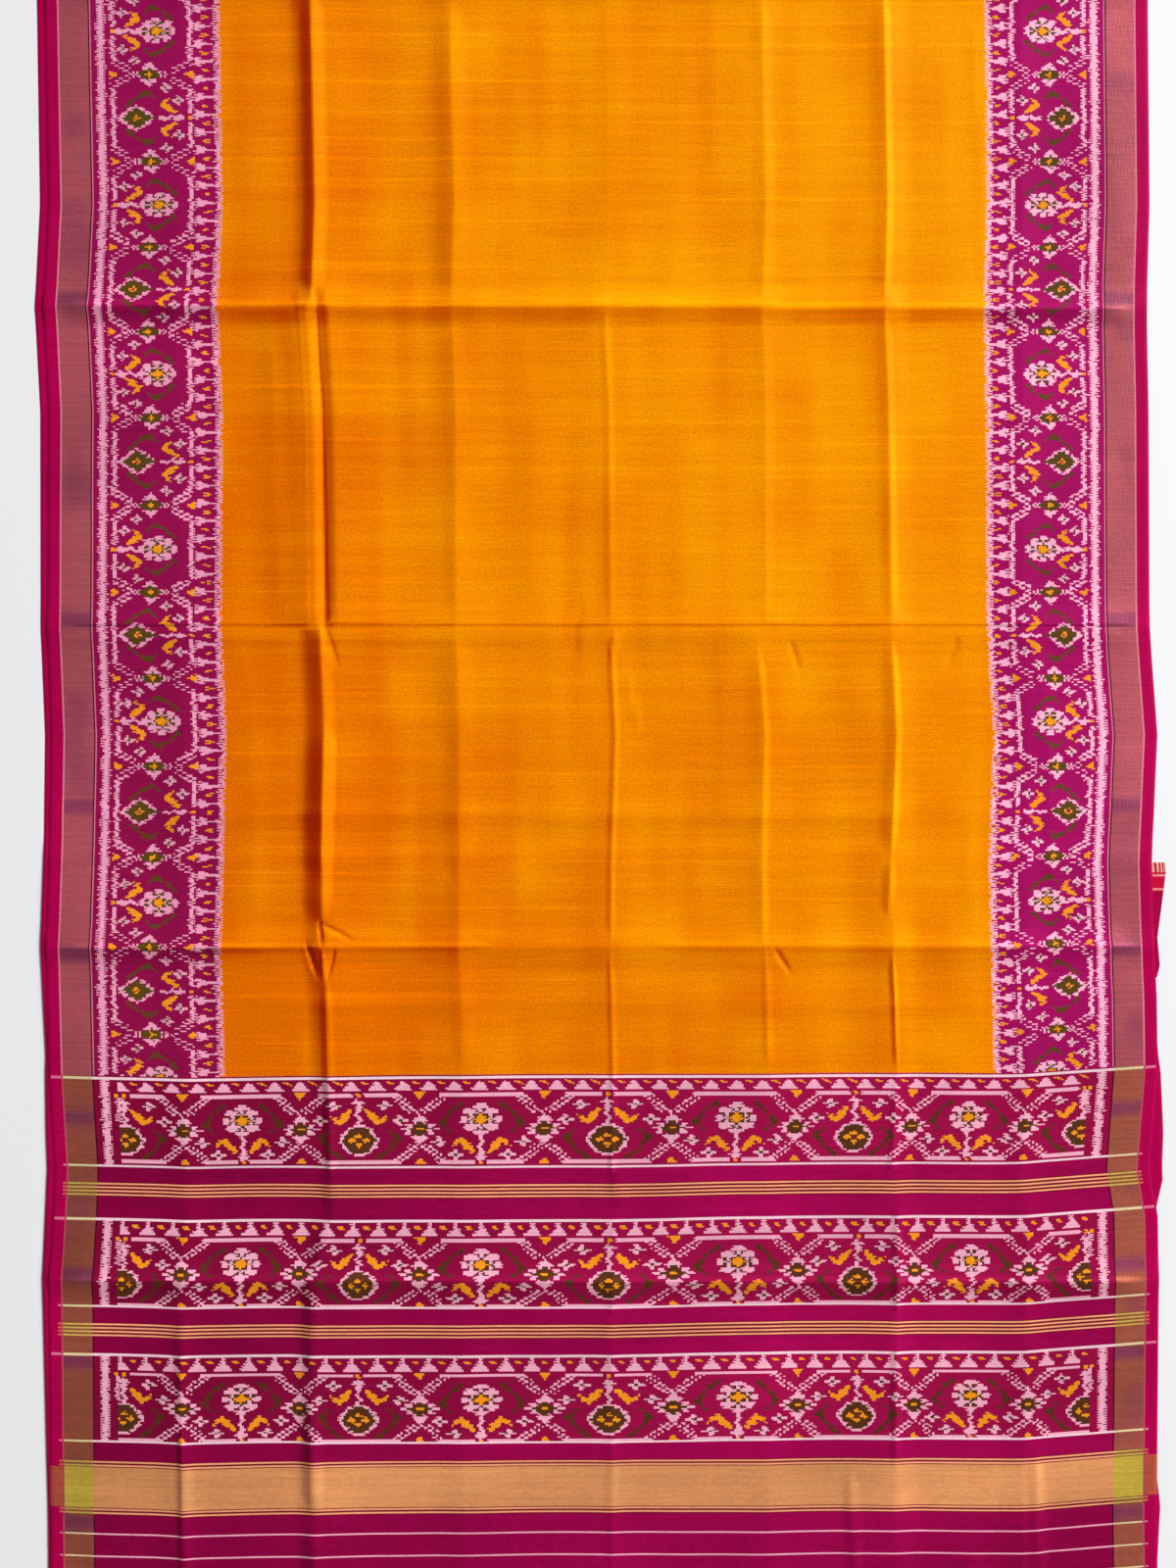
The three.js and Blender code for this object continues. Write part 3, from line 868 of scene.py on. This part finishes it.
# fine weft ribs with slubs
def paintedSilk(name, look):
    material, tree, shader, coords, colour = startSilk(name, look)
    broad = stretchedNoise(tree, coords, (5, 9, 1), 2)
    weft = stretchedNoise(tree, coords, (9, 420, 1), 2)
    colour = multiplyTint(tree, colour, broad, 1 - look.uneven, 1 + look.uneven)
    colour = multiplyTint(tree, colour, weft, 0.93, 1.07)
    tree.links.new(colour, shader.inputs["Base Color"])
    rough = spanNode(tree, weft, look.rough - 0.06, look.rough + 0.08, 0, 1)
    tree.links.new(rough, shader.inputs["Roughness"])
    ribs = stretchedNoise(tree, coords, look.ribs, 2)
    threads = stretchedNoise(tree, coords, look.warp, 1)
    addBump(tree, mathNode(tree, "ADD", ribs, threads), look, shader)
    return material


# herringbone twill with uneven threads and a few thick bright ones
def twillSilk(name, look):
    material, tree, shader, coords, colour = startSilk(name, look)
    split = place(tree, "ShaderNodeSeparateXYZ")
    tree.links.new(coords, split.inputs[0])
    zigzag = mathNode(tree, "PINGPONG", split.outputs["X"], look.chevron)
    lean = mathNode(tree, "MULTIPLY", zigzag, look.lean)
    diagonal = mathNode(tree, "ADD", lean, split.outputs["Y"])
    wave = mathNode(tree, "SINE", mathNode(tree, "MULTIPLY", diagonal, look.twill))
    threads = stretchedNoise(tree, coords, look.threads, 1)
    specks = stretchedNoise(tree, coords, look.specks, 1)
    slubs = stretchedNoise(tree, coords, look.slubs, 0)
    colour = multiplyTint(tree, colour, threads, 0.93, 1.07)
    colour = multiplyTint(tree, colour, specks, 0.88, 1.1)
    colour = multiplyTint(tree, colour, slubs, 1.0, 1.13, 0.66, 0.78)
    colour = multiplyTint(tree, colour, wave, 0.8, 1.14, -1, 1)
    tree.links.new(colour, shader.inputs["Base Color"])
    relief = mathNode(tree, "MULTIPLY", wave, 0.25)
    addBump(tree, mathNode(tree, "ADD", relief, threads), look, shader)
    return material


silks = [
    paintedSilk("dyed_silk", silkLook["dyed"]),
    paintedSilk("metal_thread", silkLook["metal"]),
    twillSilk("field_silk", silkLook["field"]),
]
print("materials ready")


def addObject(name, data):
    thing = bpy.data.objects.new(name, data)
    bpy.context.scene.collection.objects.link(thing)
    return thing


def makeSheet(name, node, slotName, points, normals, colours, kinds, **declared):
    rows, columns = points.shape[:2]
    index = np.arange(rows * columns).reshape(rows, columns)
    quads = np.stack([index[1:, :-1], index[1:, 1:], index[:-1, 1:], index[:-1, :-1]], -1).reshape(-1, 4)
    mesh = bpy.data.meshes.new(name)
    mesh.vertices.add(rows * columns)
    mesh.vertices.foreach_set("co", (points * mm).astype(np.float32).ravel())
    mesh.loops.add(quads.size)
    mesh.loops.foreach_set("vertex_index", quads.ravel().astype(np.int32))
    mesh.polygons.add(len(quads))
    mesh.polygons.foreach_set("loop_start", np.arange(0, quads.size, 4, dtype=np.int32))
    used = np.unique(kinds)
    for kind in used:
        mesh.materials.append(silks[kind])
    mesh.polygons.foreach_set("material_index", np.searchsorted(used, kinds).ravel().astype(np.int32))
    mesh.update(calc_edges=True)
    mesh.shade_smooth()
    onPoints = colours.shape[0] == rows
    dye = mesh.attributes.new("dye", "FLOAT_COLOR", "POINT" if onPoints else "FACE")
    rgba = np.ones((colours.shape[0] * colours.shape[1], 4), np.float32)
    rgba[:, :3] = colours.reshape(-1, 3)
    dye.data.foreach_set("color", rgba.ravel())
    layer = mesh.uv_layers.new(name="OFBake")
    u = np.repeat(np.linspace(0, 1, columns)[None, :], rows, 0).ravel()
    v = np.repeat(np.linspace(1, 0, rows)[:, None], columns, 1).ravel()
    uv = np.stack([u[quads.ravel()], v[quads.ravel()]], -1)
    layer.uv.foreach_set("vector", uv.astype(np.float32).ravel())
    mesh.normals_split_custom_set_from_vertices(normals.reshape(-1, 3).astype(np.float32))
    sheet = addObject(name, mesh)
    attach(sheet, "root")
    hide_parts(node)
    print(name, len(quads) * 2, "triangles")


def slopes(height, over, down, step):
    acrossSlope = (height(over + step, down) - height(over - step, down)) / (2 * step)
    downSlope = (height(over, down + step) - height(over, down - step)) / (2 * step)
    return acrossSlope, downSlope


normalStep, shadeStep = 0.7, 1.4  # steps to both sides over which a slope is taken


def gridNormals(height, over, down):
    acrossSlope, downSlope = slopes(height, over, down, normalStep)
    normal = np.stack([-acrossSlope, downSlope, np.ones_like(acrossSlope)], -1)
    return normal / np.linalg.norm(normal, axis=-1, keepdims=True)


# painted shade, deeper and redder, where the cloth slopes away from the key light, and painted highlight,
# paler, where it slopes towards it
lightFrom = (0.72, 0.69)
awaySlope, towardsSlope = (0.03, 0.5), (0.04, 0.35)
awayShade = np.array([(0.3, 0.3, 0.45), (0.3, 0.45, 0.2), (0.14, 0.78, 0)])  # dyed, metal, field
towardsHighlight = np.array([(0.08, 0, 0.08), (0.14, 0.22, 0.2), (0.08, 0.3, 0.02)])


def paintSlopeShade(colours, kinds, over, down):
    acrossSlope, downSlope = slopes(topHeight, over, down, shadeStep)
    facing = downSlope * lightFrom[1] - acrossSlope * lightFrom[0]
    away = smooth(-facing, *awaySlope)[..., None]
    towards = smooth(facing, *towardsSlope)[..., None]
    return np.clip(colours * (1 - away * awayShade[kinds]) * (1 + towards * towardsHighlight[kinds]), 0, 1)


# points and normals of the top layer, on a grid of places across and weft threads
def layTop(overs, wefts):
    over, weft = np.meshgrid(overs, wefts)
    down = downOf(weft, over)
    points = np.stack([planX(over, down), middleDown - down, topHeight(over, down)], -1)
    return points, gridNormals(topHeight, over, down)


# rows of the far fold's roll, from the surface beneath up to the top layer
foldTurns = [180, *range(180, 14, -15)]
foldTuck = 14  # how far the first row goes in beneath the top layer


def foldRows(overs):
    over = np.repeat(np.asarray(overs)[None, :], len(foldTurns), 0)
    turn = np.radians(foldTurns)[:, None] + 0 * over
    centre = cloth.rollCentre
    middle = topHeight(over, np.full_like(over, centre)) / 2
    out = middle * np.sin(turn)
    out[0] -= foldTuck
    y = middleDown - centre + out
    points = np.stack([planX(over, centre + 0 * over), y, middle + middle * np.cos(turn)], -1)
    return points, np.stack([0 * over, np.sin(turn), np.cos(turn)], -1)


def centres(values):
    values = np.asarray(values, float)
    return (values[1:] + values[:-1]) / 2


def spread(start, end, size):
    count = max(1, round((end - start) / size))
    return list(np.linspace(start, end, count + 1))


def joined(*runs):
    values = [runs[0][0]]
    for run in runs:
        values += [v for v in run if v > values[-1] + 0.01]
    return np.array(values)


# stations from start to end, close together near the places
def closer(start, end, wide, fine, places):
    values = [start]
    while values[-1] < end - fine:
        at = values[-1]
        near = any(abs(at + fine - place) < reach for place, reach in places)
        values.append(min(end, at + (fine if near else wide)))
    return np.array(values[:-1] + [end])


edgeStations = [0, 1, 2.2, 4, 6.5, 9.5, 13, 14.6]
zariColumn = 5
columnSize = 2.0
rowSize = 1.3
farRowSize = 2.2
plainField = 5.5
fieldStart, fieldStop = cloth.leftBorder, cloth.width - cloth.rightBorder


def borderStations(zones, width):
    zari, after = zones.zariEnd, zones.zariEnd + thinLines.inner
    return joined(edgeStations, spread(edgeStations[-1], zari, zariColumn), [zari + thinLines.dark, after],
                  spread(after, width, columnSize))


leftOvers = borderStations(sides["left"], cloth.leftBorder)
rightOvers = cloth.width - borderStations(sides["right"], cloth.rightBorder)[::-1]
fieldFolds = [(280, 36), (420, 14), (575, 11), (750, 34), (862, 16)]  # place and how far to both sides
fieldOvers = closer(fieldStart, fieldStop, plainField, columnSize, fieldFolds)
crossFolds = [(326, 8), (652, 8), (979, 10), (1325, 29), (1634, 30)]

photoTop = 665  # the photo shows the cloth from here on
farEnd, halfway, fieldEnd = cloth.rollCentre, cloth.halfway, cloth.fieldEnd
stretches = {
    "far": dict(rows=joined(spread(farEnd, photoTop, farRowSize), spread(photoTop, halfway, rowSize)),
                fieldRows=closer(farEnd, halfway, plainField, columnSize, crossFolds)),
    "near": dict(rows=joined(spread(halfway, fieldEnd - 1.5, rowSize), [fieldEnd]),
                 fieldRows=closer(halfway, fieldEnd, plainField, columnSize, crossFolds)),
}
rollCloth = 26  # length of cloth in the far fold's roll


def topSheet(name, node, slotName, overs, rows, paint, atFold=False, onPoints=False):
    points, normals = layTop(overs, rows)
    over, weft = np.meshgrid(overs, rows) if onPoints else np.meshgrid(centres(overs), centres(rows))
    colours, kinds = paint(over, weft)
    # painted shade and painted highlight by how the cloth slopes to the key light
    colours = paintSlopeShade(colours, kinds, over, downOf(weft, over))
    if onPoints:
        kinds = kinds[1:, 1:]
    if atFold:
        foldPoints, foldNormals = foldRows(overs)
        points = np.concatenate([foldPoints, points])
        normals = np.concatenate([foldNormals, normals])
        extra = len(foldPoints)
        colours = np.concatenate([colours[:extra][::-1], colours])
        kinds = np.concatenate([kinds[:extra][::-1], kinds])
    flat = ((overs[-1] - overs[0]) * mm, (rows[-1] - rows[0] + rollCloth * atFold) * mm)
    makeSheet(name, node, slotName, points, normals, colours, kinds,
              flat=flat, held="laid", rests_on=["folded_layers"])


def paintField(over, weft):
    return fieldColour(over, weft), np.full(over.shape, field)


for part, rows in stretches.items():
    far = part == "far"
    topSheet("field_" + part, "body_field", "orange_silk", fieldOvers, rows["fieldRows"], paintField, far,
             onPoints=True)
    for side, overs in (("left", leftOvers), ("right", rightOvers)):
        seed = 11 + 10 * (side == "right") + 40 * far
        topSheet("border_" + side + "_" + part, "border_" + side, "ikat_border", overs, rows["rows"],
                 lambda over, weft, side=side, seed=seed: paintSide(over, weft, side, seed), far)
    print("top layer,", part, "stretch")

plainColumn = 9
plainRow = 5
plainFrom = 50  # from here in, the pallu's columns are even
leftZari = sides["left"].zariEnd
sideEdges = joined(edgeStations, spread(edgeStations[-1], leftZari, zariColumn),
                   [leftZari + thinLines.dark, plainFrom])


def palluOvers(size):
    return joined(sideEdges, spread(plainFrom, cloth.width - plainFrom, size),
                  list(cloth.width - sideEdges[::-1]))


# both edges of every woven line, so that a line is as thick as it should be
lineEdges = [at + side * half for at in goldLines for side in (-1, 1) for half in (goldHalf, gapHalf)]
lineEdges += [at + side * whiteHalf for at in whiteLines for side in (-1, 1)]
lineEdges += [at + side * half for band in bands for side in (-1, 1)
              for at, half in ((band.first, firstHalf), (band.last, lastHalf))]
lineEdges += list(goldBand)


# the edges of the woven lines from start to end, and even rows where they don't come too close to those
def palluRows(start, end, size):
    at = np.array(sorted([e for e in lineEdges if start < e < end]))
    rows = set(at)
    for row in spread(start, end, size):
        if row in (start, end) or not len(at) or min(abs(at - row)) > 0.35 * size:
            rows.add(row)
    rows = np.array(sorted(rows))
    return rows[np.concatenate([[True], np.diff(rows) > 0.05])]


palluStretches = [
    # name, node, slot, end, size of a column, size of a row
    ("pallu_band_1", "pallu_figured", "ikat_pallu", 1858, columnSize, rowSize),
    ("pallu_gold_lines_1", "pallu_figured", "ikat_pallu", 1905, plainColumn, plainRow),
    ("pallu_band_2", "pallu_figured", "ikat_pallu", 2002, columnSize, rowSize),
    ("pallu_gold_lines_2", "pallu_figured", "ikat_pallu", 2043, plainColumn, plainRow),
    ("pallu_band_3", "pallu_figured", "ikat_pallu", cloth.figuredEnd, columnSize, rowSize),
    ("gold_band", "pallu_end", "gold_band", 2215, plainColumn / 2, 2),
    ("lined_end", "pallu_end", "ikat_pallu", cloth.palluEnd, plainColumn / 2, plainRow),
]
start = fieldEnd
for number, (name, node, slotName, end, columnWide, rowHigh) in enumerate(palluStretches):
    rows = palluRows(start, end, rowHigh)
    if end == cloth.palluEnd:  # close together where the end dips
        rows = joined(rows[rows < end - hem.turn], [end - 3, end - 1.5, end])
    topSheet(name, node, slotName, palluOvers(columnWide), rows,
             lambda over, weft, seed=200 + 10 * number: paintPallu(over, weft, seed))
    start = end
print("pallu laid")


# the hidden layers: a thin sheet each, turned over at the lower fold
hiddenOvers = joined([0, 0.8, 1.8, 3.2, 5, 8, 13], spread(13, 50, 9), spread(50, 1080, 26),
                     spread(1080, 1117, 9), [1122, 1125, 1126.8, 1128.2, 1129.2, 1130])
hiddenRow = 9
hiddenZones = Facts(selvedge=13, zari=45, field=170)
hiddenHem = Facts(turn=3.2, drop=1.0)
pressed = 0.2  # share of the top layer's folds that goes through to the second layer
thirdTop = 1.15
noseTurns = np.radians([20, 45, 70, 90, 110, 135, 160, 180])[:, None]


def layHidden(name, start, end, heightOf, restsOn, atNose=False):
    rows = np.array(spread(start, end, hiddenRow))
    over, down = np.meshgrid(hiddenOvers, rows)
    points = np.stack([hiddenX(over, down), middleDown - down, heightOf(over, down)], -1)
    normals = gridNormals(heightOf, over, down)
    if atNose:
        x, y, z = points[-1].T
        radius = z / 2
        out, up = np.sin(noseTurns), np.cos(noseTurns) + 0 * x
        nose = np.stack([x + 0 * out, y - radius * out, radius + radius * up], -1)
        points = np.concatenate([points, nose])
        normals = np.concatenate([normals, np.stack([0 * up, 0 * up - out, up], -1)])
    over = np.repeat(centres(hiddenOvers)[None, :], len(points) - 1, 0)
    edge = fromSelvedge(over)
    colours = np.zeros(over.shape + (3,)) + dyes["borderGround"]
    inZari = within(edge, hiddenZones.selvedge, hiddenZones.zari)
    colours[edge < hiddenZones.selvedge] = dyes["selvedge"]
    colours[inZari] = dyes["zari"]
    colours[edge > hiddenZones.field] = dyes["brightOrange"]
    makeSheet(name, "folded_layers", "under_silk", points, normals, tint(colours, 400, 0.03),
              np.where(inZari, metal, dyed),
              flat=(cloth.width * mm, (end - start) * mm), held="folded", rests_on=restsOn)


def hiddenDip(over):
    return hiddenHem.drop * (1 - np.clip(fromSelvedge(over) / hiddenHem.turn, 0, 1)) ** 2


def secondHeight(over, down):
    flat = stackUnder(down)
    return flat + pressed * (underside(over, down) - flat) - cloth.layerGap - hiddenDip(over)


def thirdHeight(over, down):
    return thirdTop + 0 * down - hiddenDip(over)


layHidden("third_layer", cloth.innerEnd, 2293, thirdHeight, ["inner_end_corner"])
layHidden("second_layer_far", 8, halfway, secondHeight, ["third_layer"])
layHidden("second_layer_middle", halfway, fieldEnd, secondHeight, ["third_layer"])
layHidden("second_layer_near", fieldEnd, 2294, secondHeight, ["third_layer"], atNose=True)
print("hidden layers laid")

# the corner of the inner end at the right, a raw edge with its first threads
innerCorner = np.array([
    # down, right of the centre line
    (1545, 576), (1556, 577), (1580, 574), (1622, 568.5), (1650, 571), (1662, 568),
])
corner = Facts(
    end=1662,
    row=2,
    shares=np.array([0, 0.3, 0.45, 0.56, 0.66, 0.74, 0.81, 0.87, 0.93, 0.97, 1]),  # from its hidden edge out
    tuck=6,  # how far it goes in beneath the second layer
    least=4,
    top=1.2,
    drop=1.1,
    turn=2.5,
    redEnd=1575,
    pinkLines=((1557, 1559.5), (1571, 1573.5)),
    fringe=5,  # rows of loose threads, every other one cream
    flat=(0.0196, 0.117),
)


def cornerSheet():
    start, shares = cloth.innerEnd, corner.shares
    rows = np.array(spread(start, corner.end, corner.row))
    outer = lookUp(rows, innerCorner)
    hidden = sideReach(topEdges, rows)[1] + sideReach(hiddenEdges, rows)[1] - corner.tuck
    inner = np.minimum(hidden, outer - corner.least)
    x = inner[:, None] + (outer - inner)[:, None] * shares
    y = middleDown - np.repeat(rows[:, None], len(shares), 1)
    fromRim = np.minimum(outer[:, None] - x, (rows - start)[:, None])
    z = corner.top - corner.drop * (1 - np.clip(fromRim / corner.turn, 0, 1)) ** 2
    points = np.stack([x, y, z], -1)
    at = centres(rows)[:, None] + 0 * centres(shares)
    colours = np.zeros(at.shape + (3,)) + dyes["cornerCrimson"]
    colours[at < corner.redEnd] = dyes["cornerRed"]
    for span in corner.pinkLines:
        colours[within(at, *span)] = dyes["cornerPink"]
    colours[:corner.fringe, ::2] = dyes["cornerCream"]
    normals = np.zeros_like(points) + (0, 0, 1)
    makeSheet("inner_end_corner", "inner_end", "under_silk", points, normals, tint(colours, 500, 0.06),
              np.full(at.shape, dyed), flat=corner.flat, held="laid", rests_on=["third_layer"])


cornerSheet()
print("inner end laid")

# floor, lamps and camera
studio = Facts(
    floor=(0.86, 0.865, 0.88),
    floorHalf=6,
    sun=Facts(height=36, towards=46, strength=2.95, softness=12),  # degrees; towards: from far to right
    side=Facts(place=(3.0, 0.8, 2.0), size=1.6, power=54),
    sky=0.25,
    eye=(-0.0125, -0.240, 2.2222),
)


def makeFloor():
    mesh = bpy.data.meshes.new("floor")
    half = studio.floorHalf
    corners = [(-half, -half, 0), (half, -half, 0), (half, half, 0), (-half, half, 0)]
    mesh.from_pydata(corners, [], [(0, 1, 2, 3)])
    material, tree = newMaterial("floor_white")
    shader = tree.nodes["Principled BSDF"]
    shader.inputs["Base Color"].default_value = (*studio.floor, 1)
    shader.inputs["Roughness"].default_value = 0.9
    mesh.materials.append(material)
    addObject("floor", mesh)


def placeLamp(name, kind, location, turn):
    lamp = bpy.data.lights.new(name, kind)
    holder = addObject(name, lamp)
    holder.location = location
    holder.rotation_euler = turn
    return lamp


def makeLamps():
    facts = studio.sun
    turn = (-math.radians(90 - facts.height), 0, -math.radians(facts.towards))
    sun = placeLamp("key", "SUN", (0, 0, 3), turn)
    sun.energy = facts.strength
    sun.angle = math.radians(facts.softness)
    facts = studio.side
    across, along, up = facts.place
    turn = (math.atan2(math.hypot(across, along), up), 0, math.atan2(across, -along))
    side = placeLamp("side", "AREA", facts.place, turn)
    side.energy = facts.power
    side.size = facts.size


def makeStudio():
    makeFloor()
    makeLamps()
    world = bpy.data.worlds.new("room")
    world.use_nodes = True
    sky = world.node_tree.nodes["Background"]
    sky.inputs["Color"].default_value = (1, 1, 1, 1)
    sky.inputs["Strength"].default_value = studio.sky
    bpy.context.scene.world = world
    camera = bpy.data.cameras.new("camera")
    camera.lens = 50
    camera.sensor_width = 36
    camera.clip_end = 50
    eye = addObject("camera", camera)
    eye.location = studio.eye
    bpy.context.scene.camera = eye
    bpy.context.scene.view_settings.view_transform = "Standard"


makeStudio()
print("studio ready")
